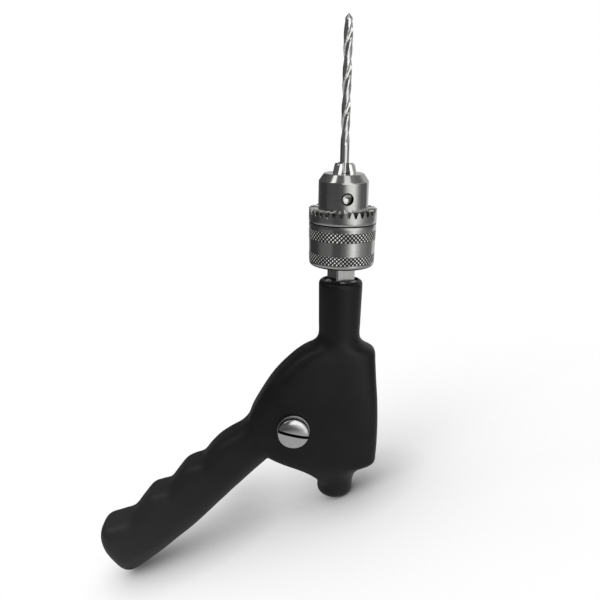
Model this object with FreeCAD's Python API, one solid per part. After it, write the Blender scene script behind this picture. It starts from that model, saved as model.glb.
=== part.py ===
"""Orthopedic hand drill: keyed three-jaw chuck, black pistol body, crank on the far side.

Millimetres. The origin lies on the spindle axis in the plane of the chuck's nose.
+Z runs out along the drill bit, +X points away from the grip, and +Y to the crank side.
"""
import FreeCAD
import Part
import math
import os

V = FreeCAD.Vector
X_AXIS = V(1, 0, 0)
Y_AXIS = V(0, 1, 0)
Z_AXIS = V(0, 0, 1)
ORIGIN = V(0, 0, 0)

# Fits, and how far a cutting solid reaches past the face it cuts
running_gap = 0.05
seat_gap = 0.02
end_gap = 0.30
washer_play = 0.1
past = 5.0

# Share of its radius that a rounded edge keeps at the middle of its two flats
edge_share = 0.3
edge_break = 0.6

# Drill bit
bit_radius = 1.9
bit_length = 85.0
bit_reach = 63.5
flute_length = 52.0
flute_pitch = 29.0
flute_web = 0.75
flute_rise = 0.05
point_height = 1.5
flute_steps = 36

# Chuck body
chuck_radius = 10.7
nose_chamfer = 3.2
nose_inset = 2.2
chuck_length = 39.2
bit_bore_radius = 3.3
bit_bore_depth = 29.0
nut_groove_play = 1.4
tail_rise = 1.8
tail_length = 8.6

# Key holes round the chuck body
key_hole_count = 3
key_hole_radius = 2.55
key_hole_mouth = 3.05
key_hole_depth = 4.2
key_hole_cone = 1.2
key_hole_z = -9.7
key_hole_angle = -83.5

# Jaws
jaw_radius = 2.5
jaw_tilt = 14.0
jaw_count = 3
jaw_length = 29.4
jaw_reach = 4.3
jaw_tip_offset = 1.9
jaw_land = 0.35
jaw_travel = 5.17
jaw_tip_chamfer = 0.7

# Sleeve and its nut
ring_wall = 3.9
ring_top = -14.7
ring_height = 5.7
ring_groove_width = 0.8
ring_groove_depth = 0.5
sleeve_bottom = -39.5
sleeve_taper = 0.45
sleeve_corner = 1.3
skirt_step = 0.1
tooth_count = 30
tooth_depth_outside = 2.6
tooth_depth_inside = 0.8
tooth_overhang = 0.5
tooth_land_share = 0.14
tooth_foot_share = 0.35
nut_top = -18.5
nut_height = 5.0
nut_rise = 2.1

# Spindle
stub_radius = 4.0
stub_length = 8.5
square_width = 9.3
square_height = 7.0
square_corner_radius = 6.14
square_angle = 27.0
journal_radius = 4.0
tail_shaft_radius = 3.0

# Body
neck_top = -46.5
neck_radius = 9.7
neck_foot_radius = 9.2
neck_foot = -72.0
neck_rim = 1.8
case_half = 12.0
case_wall = 4.1
nub_radius = 8.3
nub_top = -120.0
nub_bottom = -152.3
nub_edge = 3.5
ring_points = 24

# Gear case, downwards: height, inset of the grip side, back side, inset of each face, fullness
case_stations = (
    (-71.0, 32.2, 9.2, 2.8, 2.0),
    (-74.0, 31.4, 9.8, 2.6, 2.0),
    (-76.5, 28.9, 12.3, 2.3, 2.2),
    (-79.0, 24.4, 16.2, 2.0, 2.6),
    (-84.0, 18.8, 16.8, 1.4, 3.2),
    (-92.0, 11.8, 17.4, 0.7, 3.8),
    (-102.0, 5.6, 18.3, 0.2, 4.2),
    (-112.0, 0.8, 18.8, 0.0, 4.5),
    (-122.0, 0.0, 18.9, 0.0, 4.6),
    (-129.0, 6.0, 18.6, 0.0, 4.6),
    (-133.2, 13.6, 17.9, 0.4, 4.4),
    (-136.3, 20.4, 12.6, 1.2, 3.4),
    (-139.0, 25.2, 10.2, 2.2, 2.7),
    (-142.0, 29.4, 9.0, 3.2, 2.2),
    (-145.0, 32.9, 8.4, 3.8, 2.0),
)

# Grip, outwards: distance, finger side, palm side, half thickness
grip_root = V(-36, 0, -125)
grip_slope = 42.0
finger_fullness = 3.2
palm_fullness = 2.3
grip_stations = (
    (-6, 12.6, -8.6, 10.2),
    (1, 11.4, -9.0, 10.6),
    (8, 12.6, -9.3, 10.7),
    (14, 13.2, -9.6, 10.8),
    (20, 12.7, -10.0, 10.8),
    (26, 11.7, -10.3, 10.8),
    (31, 13.5, -10.8, 10.9),
    (35, 14.3, -11.1, 10.9),
    (41, 13.2, -11.6, 11.0),
    (48, 11.8, -12.1, 11.2),
    (53, 13.8, -12.4, 11.4),
    (57, 15.1, -12.5, 11.5),
    (64, 13.8, -12.4, 11.7),
    (73, 12.1, -12.4, 11.9),
    (80, 14.6, -12.2, 12.0),
    (86, 16.9, -12.0, 11.8),
    (90.3, 15.1, -11.8, 10.9),
    (93.4, 11.0, -11.2, 9.3),
    (95.5, 6.0, -10.2, 7.0),
    (96.9, 1.0, -8.8, 4.6),
    (97.5, -2.2, -7.2, 2.2),
)

# Bushes of the spindle
bush_flange_width = 1.5
bush_flange_height = 1.4
bush_edge = 0.4
front_bush_length = 20.0
rear_bush_length = 9.0
rear_bush_lift = 1.0
thrust_pad_height = 1.5
thrust_ball_radius = 1.5
nub_floor = 2.5

# Screw gears on crossed axes
gear_module = 1.0
pinion_teeth = 10
wheel_teeth = 30
gear_helix = 45.0
gear_addendum = 0.60
gear_dedendum = 0.85
gear_backlash = 0.16
gear_pressure = 20.0
pinion_length = 16.0
pinion_steps = 12
pinion_hub_length = 6.0
pinion_hub_rise = 0.6
pin_radius = 0.8
pin_sink = 0.1
spacer_radius = 4.8
wheel_steps = 5
wheel_width = 8.0
gear_z = -114.0

# Crank axle
axle_radius = 4.0
chamber_gap = 0.5
chamber_near = -7.6
cover_seat = 8.0
cover_rim = 1.2
cover_boss_radius = 8.0
cover_boss_height = 1.5
spanner_hole_radius = 1.25
spanner_hole_place = 13.0
spanner_hole_depth = 2.5
bush_wall = 2.0
key_width = 2.0
wheel_hub_radius = 7.6
washer_radius = 7.3
washer_height = 1.2
screw_radius = 7.0
screw_rim = 2.9
screw_dome = 1.9
screw_dome_steps = 4
screw_slot_width = 1.0
screw_slot_depth = 1.7
screw_slot_angle = 12.0
screw_shank_radius = 2.5
screw_shank_length = 9.0

# Crank
crank_throw = 56.0
crank_angle = 131.8
crank_width = 11.0
crank_tip_width = 9.0
crank_thickness = 4.0
crank_boss_radius = 8.0
crank_boss_rise = 2.4
crank_square = 6.0
crank_screw_radius = 4.6
crank_screw_height = 2.6
crank_screw_edge = 0.5
crank_screw_shank_radius = 1.5
crank_screw_shank_length = 7.0
crank_slot_width = 0.9
crank_slot_depth = 1.2
crank_washer_radius = 5.6
crank_washer_height = 1.0
knob_radius = 5.8
knob_end_radius = 4.4
knob_length = 29.0
knob_pin_radius = 2.0
knob_head_radius = 3.2
knob_head_height = 1.6
knob_head_sink = 1.0
knob_recess_play = 0.15

# Swell of the knob between its end radius and its full radius, by share of its length
knob_shape = ((0.06, 0.10), (0.28, 0.55), (0.60, 1.0), (0.84, 0.85), (0.95, 0.45), (1.0, -0.1))

# Places that follow from the sizes above
wheel_pitch_radius = gear_module * wheel_teeth / 2
pinion_pitch_radius = gear_module * pinion_teeth / 2
axle_x = -(wheel_pitch_radius + pinion_pitch_radius)
wheel_tip_radius = wheel_pitch_radius + gear_addendum
chamber_radius = wheel_tip_radius + chamber_gap
cover_radius = chamber_radius + cover_rim
case_left = axle_x - cover_radius - case_wall
tunnel_radius = pinion_pitch_radius + gear_addendum + chamber_gap
pinion_hub_radius = pinion_pitch_radius - gear_dedendum + pinion_hub_rise
bush_flange_radius = tunnel_radius + bush_flange_width
flute_radius = bit_radius - flute_web
flute_offset = bit_radius + flute_rise
nose_radius = chuck_radius - nose_inset
tail_radius = chuck_radius + tail_rise
nut_radius = chuck_radius + nut_rise
ring_radius = chuck_radius + ring_wall
sleeve_end_radius = ring_radius - sleeve_taper
square_top = -chuck_length - end_gap
square_bottom = square_top - square_height
bush_top = square_bottom - end_gap
cone_slope = math.tan(math.radians(jaw_tilt))
first_jaw_angle = key_hole_angle + 180.0 / key_hole_count
nut_bottom = nut_top - nut_height
crank_seat = case_half + cover_boss_height + end_gap
crank_face = crank_seat + crank_thickness + crank_boss_rise
axle_end = crank_face - end_gap
knob_start = crank_seat + crank_thickness + end_gap
screw_seat = -case_half - end_gap - washer_height
thrust_seat = nub_bottom + nub_floor + thrust_pad_height
pin_height = gear_z - pinion_length / 2 - pinion_hub_length / 2


def turned(profile):
    """A solid turned about Z from its half section, a closed list of (radius, z)."""
    points = [V(r, 0, z) for r, z in profile]
    wire = Part.makePolygon(points + points[:1])
    return Part.Face(wire).revolve(ORIGIN, Z_AXIS, 360)


def rod(radius, z_low, z_high):
    """A round bar on the Z axis."""
    return Part.makeCylinder(radius, z_high - z_low, V(0, 0, z_low))


def on_cross_axle(solid):
    """Lay a piece made along +Z on the crank axle, with its +Z along +Y."""
    solid = solid.copy()
    solid.rotate(ORIGIN, X_AXIS, -90)
    solid.translate(V(axle_x, 0, gear_z))
    return solid


def ring_of(solid, count, start):
    """Copies of a piece turned evenly about Z."""
    copies = []
    for i in range(count):
        piece = solid.copy()
        piece.rotate(ORIGIN, Z_AXIS, start + 360.0 / count * i)
        copies.append(piece)
    return copies


def skinned(rings):
    """A closed solid through rings of points that match one another, in flat facets."""
    faces = [Part.Face(Part.makePolygon(ring + ring[:1])) for ring in (rings[0], rings[-1])]
    count = len(rings[0])
    for low, high in zip(rings, rings[1:]):
        for i in range(count):
            j = (i + 1) % count
            for corners in ((low[i], low[j], high[j]), (low[i], high[j], high[i])):
                faces.append(Part.Face(Part.makePolygon(corners + corners[:1])))
    shell = Part.makeShell(faces)
    shell.sewShape()
    solid = Part.makeSolid(shell)
    if solid.Volume < 0:
        solid.reverse()
    return solid


def twisted(section, height, turn, steps):
    """Carry a closed section of (x, y) points up Z while it turns."""
    rings = []
    for i in range(steps + 1):
        angle = math.radians(turn) * i / steps
        c, s = math.cos(angle), math.sin(angle)
        rings.append([V(x * c - y * s, x * s + y * c, height * i / steps) for x, y in section])
    return skinned(rings)


def eased(stations, steps):
    """Rows between the given stations, on smooth curves through them."""
    rows = [stations[0]]
    last = len(stations) - 1
    for i in range(last):
        before, first = stations[max(i - 1, 0)], stations[i]
        second, after = stations[i + 1], stations[min(i + 2, last)]
        for step in range(1, steps + 1):
            t = step / steps
            row = []
            for a, b, c, d in zip(before, first, second, after):
                row.append(0.5 * (2 * b + (c - a) * t + (2 * a - 5 * b + 4 * c - d) * t * t
                                  + (3 * b - a - 3 * c + d) * t ** 3))
            rows.append(row)
    return rows


def oval(centre, across, half_width, half_depth, upper_fullness, lower_fullness):
    """Ring of points round a centre; fullness 2 is an ellipse, more is boxier."""
    points = []
    for i in range(ring_points):
        angle = 2 * math.pi * i / ring_points
        c, s = math.cos(angle), math.sin(angle)
        fullness = upper_fullness if c > 0 else lower_fullness
        x = half_width * math.copysign(abs(c) ** (2 / fullness), c)
        y = half_depth * math.copysign(abs(s) ** (2 / fullness), s)
        points.append(centre + across * x + Y_AXIS * y)
    return points


def drill_bit():
    """Two-flute twist drill: plain shank, helical flutes, conical point."""
    section = []
    for side in (0, 180):
        for angle in (0, 25, 50, 75):
            a = math.radians(side + angle)
            section.append((bit_radius * math.cos(a), bit_radius * math.sin(a)))
        middle = math.radians(side + 127.5)
        for angle in (-62, -30, 0, 30, 62):
            a = middle + math.pi - math.radians(angle)
            section.append((flute_offset * math.cos(middle) + flute_radius * math.cos(a),
                            flute_offset * math.sin(middle) + flute_radius * math.sin(a)))
    foot = bit_reach - flute_length
    fluted = twisted(section, flute_length, 360.0 * flute_length / flute_pitch, flute_steps)
    fluted.translate(V(0, 0, foot))
    cone = turned([(0, foot), (2 * bit_radius, foot), (2 * bit_radius, bit_reach - 2 * point_height),
                   (0, bit_reach)])
    shank = rod(bit_radius, bit_reach - bit_length, foot)
    return shank.fuse(fluted.common(cone)).removeSplitter()


def jaw_rod(radius, z_back, z_front):
    """A bar on the tilted axis of the jaw that lies at angle 0; z is along that axis."""
    bar = rod(radius, z_back, z_front)
    bar.rotate(ORIGIN, Y_AXIS, -jaw_tilt)
    bar.translate(V(jaw_tip_offset, 0, jaw_reach))
    return bar


def jaw():
    """A round jaw, cut to a wedge with a narrow gripping land along the bit."""
    bar = jaw_rod(jaw_radius, -jaw_length, past)
    land_x = bit_radius + seat_gap
    outer_x = chuck_radius + past
    half = jaw_land + (outer_x - land_x) * math.tan(math.radians(60))
    corners = [V(land_x, -jaw_land, -chuck_length), V(outer_x, -half, -chuck_length),
               V(outer_x, half, -chuck_length), V(land_x, jaw_land, -chuck_length)]
    wedge = Part.Face(Part.makePolygon(corners + corners[:1])).extrude(V(0, 0, chuck_length + jaw_reach))
    tip_radius = jaw_tip_offset + jaw_radius - jaw_tip_chamfer
    foot = jaw_reach - outer_x + tip_radius
    crown = turned([(0, -chuck_length), (outer_x, -chuck_length), (outer_x, foot), (tip_radius, jaw_reach),
                    (0, jaw_reach)])
    return bar.common(wedge).common(crown)


def jaw_back(z):
    """How far from the chuck's axis the cone round the backs of the jaws lies, at a height."""
    return jaw_tip_offset + (jaw_reach - z) * cone_slope + jaw_radius / math.cos(math.radians(jaw_tilt))


def chuck_body():
    """Turned body: chamfered nose, groove for the nut, tail that the sleeve runs on."""
    groove_top = nut_top + end_gap
    groove_bottom = nut_bottom - end_gap
    groove_radius = jaw_back(nut_top) - nut_groove_play
    tail_top = -chuck_length + tail_length
    solid = turned([
        (0, 0), (nose_radius, 0), (chuck_radius, -nose_chamfer), (chuck_radius, groove_top),
        (groove_radius, groove_top), (groove_radius, groove_bottom),
        (chuck_radius, groove_bottom), (chuck_radius, tail_top), (tail_radius, tail_top),
        (tail_radius, -chuck_length), (0, -chuck_length)])
    for hole in ring_of(key_hole(), key_hole_count, key_hole_angle):
        solid = solid.cut(hole)
    solid = solid.cut(rod(bit_bore_radius, -bit_bore_depth, past))
    solid = solid.cut(rod(stub_radius + seat_gap, -chuck_length - past, -chuck_length + stub_length))
    slot = jaw_rod(jaw_radius + running_gap, -jaw_length - jaw_travel - end_gap, past)
    for bore in ring_of(slot, jaw_count, first_jaw_angle):
        solid = solid.cut(bore)
    return solid


def key_hole():
    """Blind hole for the chuck key, with a countersunk mouth and a drilled cone bottom."""
    flare = key_hole_mouth - key_hole_radius
    hole = turned([(0, -key_hole_depth - key_hole_cone), (key_hole_radius, -key_hole_depth),
                   (key_hole_radius, -flare), (key_hole_mouth, 0), (key_hole_mouth, past), (0, past)])
    hole.rotate(ORIGIN, Y_AXIS, 90)
    hole.translate(V(chuck_radius, 0, key_hole_z))
    return hole


def chuck_sleeve():
    """Sleeve with the crown teeth that the key turns, a parting groove and a tapered skirt."""
    ring_bottom = ring_top - ring_height
    groove_bottom = ring_bottom - ring_groove_width
    front_bore = chuck_radius + running_gap
    rear_bore = nut_radius
    tail_bore = tail_radius + running_gap
    tail_top = -chuck_length + tail_length + end_gap
    solid = turned([
        (front_bore, ring_top), (ring_radius, ring_top), (ring_radius, ring_bottom),
        (ring_radius - ring_groove_depth, ring_bottom), (ring_radius - ring_groove_depth, groove_bottom),
        (ring_radius - skirt_step, groove_bottom), (sleeve_end_radius, sleeve_bottom + sleeve_corner),
        (sleeve_end_radius - edge_share * sleeve_corner, sleeve_bottom + edge_share * sleeve_corner),
        (sleeve_end_radius - sleeve_corner, sleeve_bottom), (tail_bore, sleeve_bottom),
        (tail_bore, tail_top), (rear_bore, tail_top), (rear_bore, nut_top), (front_bore, nut_top)])
    for gap in ring_of(crown_gap(), tooth_count, key_hole_angle):
        solid = solid.cut(gap)
    return solid


def crown_gap():
    """Wedge between two crown teeth, deeper and wider at the rim of the ring."""
    rings = []
    pitch = 2 * math.pi / tooth_count
    top = ring_top + tooth_overhang
    inner_end = (chuck_radius - tooth_overhang, tooth_depth_inside)
    outer_end = (ring_radius + tooth_overhang, tooth_depth_outside)
    for radius, depth in (inner_end, outer_end):
        half_top = radius * pitch * (1 - tooth_land_share) / 2
        half_foot = half_top * tooth_foot_share
        foot = ring_top - depth
        rings.append([V(radius, -half_top, top), V(radius, half_top, top),
                      V(radius, half_foot, foot), V(radius, -half_foot, foot)])
    return skinned(rings)


def jaw_nut():
    """Nut ring pressed into the sleeve; its cone runs on the backs of the jaws."""
    top = nut_top - seat_gap
    rim = nut_radius - seat_gap
    return turned([(jaw_back(nut_top) + running_gap, top), (rim, top), (rim, nut_bottom),
                   (jaw_back(nut_bottom) + running_gap, nut_bottom)])


def spindle():
    """Spindle: stub in the chuck, wrench square, journal, and the shaft that carries the pinion."""
    square = Part.makeBox(square_width, square_width, square_height,
                          V(-square_width / 2, -square_width / 2, square_bottom))
    square = square.common(rod(square_corner_radius, square_bottom, square_top))
    square.rotate(ORIGIN, Z_AXIS, square_angle)
    journal_bottom = bush_top - front_bush_length
    solid = rod(stub_radius, square_top, -chuck_length + stub_length - end_gap)
    solid = solid.fuse(square)
    solid = solid.fuse(rod(journal_radius, journal_bottom, square_bottom))
    solid = solid.fuse(rod(tail_shaft_radius, thrust_seat + 2 * thrust_ball_radius, journal_bottom))
    return solid.cut(pin_hole()).removeSplitter()


def pin_hole():
    """Cross hole for the pinion's pin."""
    return Part.makeCylinder(pin_radius + seat_gap, 4 * past, V(-2 * past, 0, pin_height), X_AXIS)


def tooth_section(teeth):
    """Transverse outline of an involute gear, as (x, y) points; a tooth lies on +X."""
    pitch_radius = gear_module * teeth / 2
    tip = pitch_radius + gear_addendum
    root = pitch_radius - gear_dedendum
    pressure = math.atan(math.tan(math.radians(gear_pressure)) / math.cos(math.radians(gear_helix)))
    base = pitch_radius * math.cos(pressure)
    half_tooth = math.pi / (2 * teeth) - gear_backlash / (2 * pitch_radius)
    pitch_roll = math.tan(pressure) - pressure

    def half_angle(radius):
        if radius <= base:
            return half_tooth + pitch_roll
        roll = math.acos(base / radius)
        return half_tooth + pitch_roll - (math.tan(roll) - roll)

    flank = (root, pitch_radius, tip)
    points = []
    for i in range(teeth):
        middle = 2 * math.pi * i / teeth
        for radius in flank:
            angle = middle - half_angle(radius)
            points.append((radius * math.cos(angle), radius * math.sin(angle)))
        for radius in reversed(flank):
            angle = middle + half_angle(radius)
            points.append((radius * math.cos(angle), radius * math.sin(angle)))
    return points


def screw_gear(teeth, length, steps):
    """Left-hand screw gear on Z, centred at z = 0, where one tooth points to +X."""
    pitch_radius = gear_module * teeth / 2
    turn = -math.degrees(length * math.tan(math.radians(gear_helix)) / pitch_radius)
    gear = twisted(tooth_section(teeth), length, turn, steps)
    gear.rotate(ORIGIN, Z_AXIS, -turn / 2)
    gear.translate(V(0, 0, -length / 2))
    return gear


def pinion():
    """Ten-tooth screw gear with a plain hub, pinned to the spindle."""
    gear = screw_gear(pinion_teeth, pinion_length, pinion_steps)
    gear.rotate(ORIGIN, Z_AXIS, 180 + 180 / pinion_teeth)
    gear.translate(V(0, 0, gear_z))
    hub_bottom = gear_z - pinion_length / 2 - pinion_hub_length
    solid = gear.fuse(rod(pinion_hub_radius, hub_bottom, gear_z - pinion_length / 2))
    solid = solid.cut(rod(tail_shaft_radius + seat_gap, hub_bottom - past, gear_z + pinion_length))
    return solid.cut(pin_hole())


def pinion_pin():
    """Cross pin through hub and spindle."""
    half = pinion_hub_radius - pin_sink
    return Part.makeCylinder(pin_radius, 2 * half, V(-half, 0, pin_height), X_AXIS)


def spacer_tube():
    """Tube on the spindle between the front bush and the pinion."""
    top = bush_top - front_bush_length - end_gap
    bottom = gear_z + pinion_length / 2 + seat_gap
    tube = rod(spacer_radius, bottom, top)
    return tube.cut(rod(tail_shaft_radius + seat_gap, bottom - past, top + past))


def front_bush():
    """Flanged bush in the mouth of the neck."""
    flange_bottom = bush_top - bush_flange_height
    bottom = bush_top - front_bush_length
    return turned([
        (journal_radius + running_gap, bush_top), (bush_flange_radius - bush_edge, bush_top),
        (bush_flange_radius, bush_top - bush_edge), (bush_flange_radius, flange_bottom),
        (tunnel_radius - seat_gap, flange_bottom), (tunnel_radius - seat_gap, bottom),
        (journal_radius + running_gap, bottom)])


def rear_bush():
    """Plain bush in the nub."""
    bottom = thrust_seat + rear_bush_lift
    solid = rod(tunnel_radius - seat_gap, bottom, bottom + rear_bush_length)
    return solid.cut(rod(tail_shaft_radius + running_gap, bottom - past, bottom + rear_bush_length + past))


def thrust_pad():
    """Hard disc at the bottom of the tunnel."""
    return rod(tunnel_radius - seat_gap, nub_bottom + nub_floor, thrust_seat)


def thrust_ball():
    """Ball between the spindle's end and the pad."""
    return Part.makeSphere(thrust_ball_radius - seat_gap, V(0, 0, thrust_seat + thrust_ball_radius))


def grip():
    """Swept-back grip, skinned through ovals that rise and fall with the fingers."""
    slope = math.radians(grip_slope)
    along = V(-math.cos(slope), 0, -math.sin(slope))
    across = V(-math.sin(slope), 0, math.cos(slope))
    rings = []
    for distance, finger, palm, half in eased(grip_stations, 2):
        centre = grip_root + along * distance + across * ((finger + palm) / 2)
        rings.append(oval(centre, across, (finger - palm) / 2, half, finger_fullness, palm_fullness))
    return skinned(rings)


def case_block():
    """Neck foot, shoulders and gear case, skinned downwards through boxier and boxier rings."""
    rings = []
    for height, inset, right, face_inset, fullness in eased(case_stations, 2):
        left = case_left + inset
        centre = V((left + right) / 2, 0, height)
        half_width = (right - left) / 2
        rings.append(oval(centre, X_AXIS, half_width, case_half - face_inset, fullness, fullness))
    return skinned(rings)


def drill_body():
    """One-piece body: neck, gear case, rear nub and grip, bored for spindle and gears."""
    rim = neck_rim * edge_share
    neck = turned([(0, neck_top), (neck_radius - neck_rim, neck_top), (neck_radius - rim, neck_top - rim),
                   (neck_radius, neck_top - neck_rim), (neck_foot_radius, neck_foot), (0, neck_foot)])
    edge = nub_edge * edge_share
    nub = turned([(0, nub_top), (nub_radius, nub_top), (nub_radius, nub_bottom + nub_edge),
                  (nub_radius - edge, nub_bottom + edge), (nub_radius - nub_edge, nub_bottom),
                  (0, nub_bottom)])
    return bored(case_block().fuse([neck, nub, grip()]))


def bored(solid):
    """Take the spindle tunnel, gear chamber, cover seat and near bush hole out of the body."""
    solid = solid.cut(rod(tunnel_radius, nub_bottom + nub_floor, neck_top + past))
    solid = solid.cut(rod(bush_flange_radius + seat_gap, bush_top - bush_flange_height, neck_top + past))
    solid = solid.cut(on_cross_axle(rod(chamber_radius, chamber_near, case_half)))
    solid = solid.cut(on_cross_axle(rod(cover_radius, cover_seat, case_half + past)))
    return solid.cut(on_cross_axle(rod(axle_radius + bush_wall, -case_half - past, 0)))


def gear_cover():
    """Round cover screwed into the far side, with a boss round the axle."""
    top = case_half + cover_boss_height
    solid = turned([
        (axle_radius + bush_wall, cover_seat), (cover_radius - seat_gap, cover_seat),
        (cover_radius - seat_gap, case_half - edge_break), (cover_radius - edge_break, case_half),
        (cover_boss_radius + edge_break, case_half), (cover_boss_radius, case_half + edge_break),
        (cover_boss_radius, top), (axle_radius + bush_wall, top)])
    spanner_hole = rod(spanner_hole_radius, case_half - spanner_hole_depth, case_half + past)
    spanner_hole.translate(V(spanner_hole_place, 0, 0))
    for hole in ring_of(spanner_hole, 2, 0):
        solid = solid.cut(hole)
    return on_cross_axle(solid)


def near_bush():
    """Bush of the axle in the near wall."""
    bush = rod(axle_radius + bush_wall - seat_gap, -case_half, chamber_near)
    return on_cross_axle(bush.cut(rod(axle_radius + running_gap, -case_half - past, 0)))


def far_bush():
    """Bush of the axle in the cover."""
    top = case_half + cover_boss_height
    bush = rod(axle_radius + bush_wall - seat_gap, cover_seat, top)
    return on_cross_axle(bush.cut(rod(axle_radius + running_gap, 0, top + past)))


def key_block(gap):
    """The gear key, or its slot when a gap is given."""
    width = key_width + 2 * gap
    return Part.makeBox(width, key_width + 2 * gap, wheel_width + 2 * gap,
                        V(axle_radius - width / 2, -width / 2, -wheel_width / 2 - gap))


def crank_axle():
    """Cross axle: journals, key slot, threaded near end, square far end."""
    near = -case_half - end_gap
    solid = rod(axle_radius, near, crank_seat)
    square = Part.makeBox(crank_square, crank_square, axle_end - crank_seat,
                          V(-crank_square / 2, -crank_square / 2, crank_seat))
    square.rotate(ORIGIN, Z_AXIS, crank_angle)
    solid = solid.fuse(square)
    tapped_end = screw_seat + screw_shank_length + end_gap
    solid = solid.cut(rod(screw_shank_radius + seat_gap, near - past, tapped_end))
    bore_bottom = crank_face - crank_screw_shank_length
    solid = solid.cut(rod(crank_screw_shank_radius + seat_gap, bore_bottom, axle_end + past))
    return on_cross_axle(solid.cut(key_block(seat_gap)))


def drive_gear():
    """Thirty-tooth screw gear keyed to the axle, with a hub on each side."""
    gear = screw_gear(wheel_teeth, wheel_width, wheel_steps)
    near_hub = chamber_near + end_gap
    far_hub = cover_seat - end_gap
    solid = gear.fuse(rod(wheel_hub_radius, near_hub, far_hub))
    solid = solid.cut(rod(axle_radius + seat_gap, near_hub - past, far_hub + past))
    return on_cross_axle(solid.cut(key_block(seat_gap)))


def gear_key():
    """Square key between axle and drive gear."""
    return on_cross_axle(key_block(0))


def axle_washer():
    """Bright washer between the near face and the axle screw."""
    washer = rod(washer_radius, screw_seat, screw_seat + washer_height)
    hole = rod(screw_shank_radius + washer_play, screw_seat - past, screw_seat + past)
    return on_cross_axle(washer.cut(hole))


def axle_screw():
    """Domed screw with a coin slot, turned into the near end of the axle."""
    rim = screw_seat - screw_rim
    profile = [(0, screw_seat), (screw_radius, screw_seat)]
    for i in range(screw_dome_steps):
        angle = math.radians(90) * i / screw_dome_steps
        profile.append((screw_radius * math.cos(angle), rim - screw_dome * math.sin(angle)))
    crown = rim - screw_dome
    head = turned(profile + [(0, crown)])
    slot = Part.makeBox(4 * screw_radius, screw_slot_width, past,
                        V(-2 * screw_radius, -screw_slot_width / 2, crown + screw_slot_depth - past))
    slot.rotate(ORIGIN, Z_AXIS, screw_slot_angle)
    shank = rod(screw_shank_radius, screw_seat, screw_seat + screw_shank_length)
    return on_cross_axle(head.cut(slot).fuse(shank))


def crank_arm():
    """Forged arm: round boss on the square end of the axle, flat tapering blade, rounded tip."""
    blade = Part.Face(Part.makePolygon([
        V(0, -crank_width / 2, crank_seat), V(crank_throw, -crank_tip_width / 2, crank_seat),
        V(crank_throw, crank_tip_width / 2, crank_seat), V(0, crank_width / 2, crank_seat),
        V(0, -crank_width / 2, crank_seat)])).extrude(V(0, 0, crank_thickness))
    tip = rod(crank_tip_width / 2, crank_seat, crank_seat + crank_thickness)
    tip.translate(V(crank_throw, 0, 0))
    solid = blade.fuse([tip, rod(crank_boss_radius, crank_seat, crank_face)]).removeSplitter()
    side = crank_square + 2 * seat_gap
    solid = solid.cut(Part.makeBox(side, side, crank_throw, V(-side / 2, -side / 2, 0)))
    hole = rod(knob_pin_radius + seat_gap, 0, crank_throw)
    hole.translate(V(crank_throw, 0, 0))
    solid = solid.cut(hole)
    solid.rotate(ORIGIN, Z_AXIS, crank_angle)
    return on_cross_axle(solid)


def crank_washer():
    """Washer over the end of the axle, on the boss of the crank."""
    seat = crank_face + seat_gap
    washer = rod(crank_washer_radius, seat, seat + crank_washer_height)
    hole = rod(crank_screw_shank_radius + washer_play, seat - past, seat + past)
    return on_cross_axle(washer.cut(hole))


def crank_screw():
    """Cheese-head screw that holds the crank on the axle."""
    seat = crank_face + crank_washer_height + 2 * seat_gap
    top = seat + crank_screw_height
    head = turned([(0, seat), (crank_screw_radius, seat), (crank_screw_radius, top - crank_screw_edge),
                   (crank_screw_radius - crank_screw_edge, top), (0, top)])
    slot = Part.makeBox(4 * crank_screw_radius, crank_slot_width, past,
                        V(-2 * crank_screw_radius, -crank_slot_width / 2, top - crank_slot_depth))
    shank = rod(crank_screw_shank_radius, seat - crank_screw_shank_length, seat)
    return on_cross_axle(head.cut(slot).fuse(shank))


def at_knob(solid):
    """Carry a piece made along +Z out to the tip of the crank."""
    solid = solid.copy()
    solid.translate(V(crank_throw, 0, 0))
    solid.rotate(ORIGIN, Z_AXIS, crank_angle)
    return on_cross_axle(solid)


def knob_pin():
    """Pin riveted into the arm, with a head that keeps the knob on."""
    head = knob_start + knob_length - knob_head_height - knob_head_sink + end_gap
    pin = rod(knob_pin_radius, crank_seat, head)
    rivet = rod(knob_head_radius, head, head + knob_head_height)
    return at_knob(pin.fuse(rivet))


def crank_knob():
    """Turned knob that runs free on its pin, sunk over the pin's head."""
    end = knob_start + knob_length
    bore = knob_pin_radius + running_gap
    recess = knob_head_radius + knob_recess_play
    head_seat = end - knob_head_height - knob_head_sink
    profile = [(bore, knob_start), (knob_end_radius, knob_start)]
    for share, swell in knob_shape:
        radius = knob_end_radius + (knob_radius - knob_end_radius) * swell
        profile.append((radius, knob_start + knob_length * share))
    profile += [(recess, end), (recess, head_seat), (bore, head_seat)]
    return at_knob(turned(profile))


parts = {
    "drill_body": drill_body,
    "gear_cover": gear_cover,
    "front_bush": front_bush,
    "rear_bush": rear_bush,
    "thrust_pad": thrust_pad,
    "near_bush": near_bush,
    "far_bush": far_bush,
    "spindle": spindle,
    "thrust_ball": thrust_ball,
    "pinion": pinion,
    "pinion_pin": pinion_pin,
    "spacer_tube": spacer_tube,
    "chuck_body": chuck_body,
    "chuck_sleeve": chuck_sleeve,
    "jaw_nut": jaw_nut,
    "drill_bit": drill_bit,
    "crank_axle": crank_axle,
    "drive_gear": drive_gear,
    "gear_key": gear_key,
    "axle_washer": axle_washer,
    "axle_screw": axle_screw,
    "crank_arm": crank_arm,
    "crank_washer": crank_washer,
    "crank_screw": crank_screw,
    "knob_pin": knob_pin,
    "crank_knob": crank_knob,
}

os.makedirs("parts", exist_ok=True)
for name, make in parts.items():
    make().exportStep("parts/%s.step" % name)
for number, piece in enumerate(ring_of(jaw(), jaw_count, first_jaw_angle), 1):
    piece.exportStep("parts/jaw_%d.step" % number)
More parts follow.
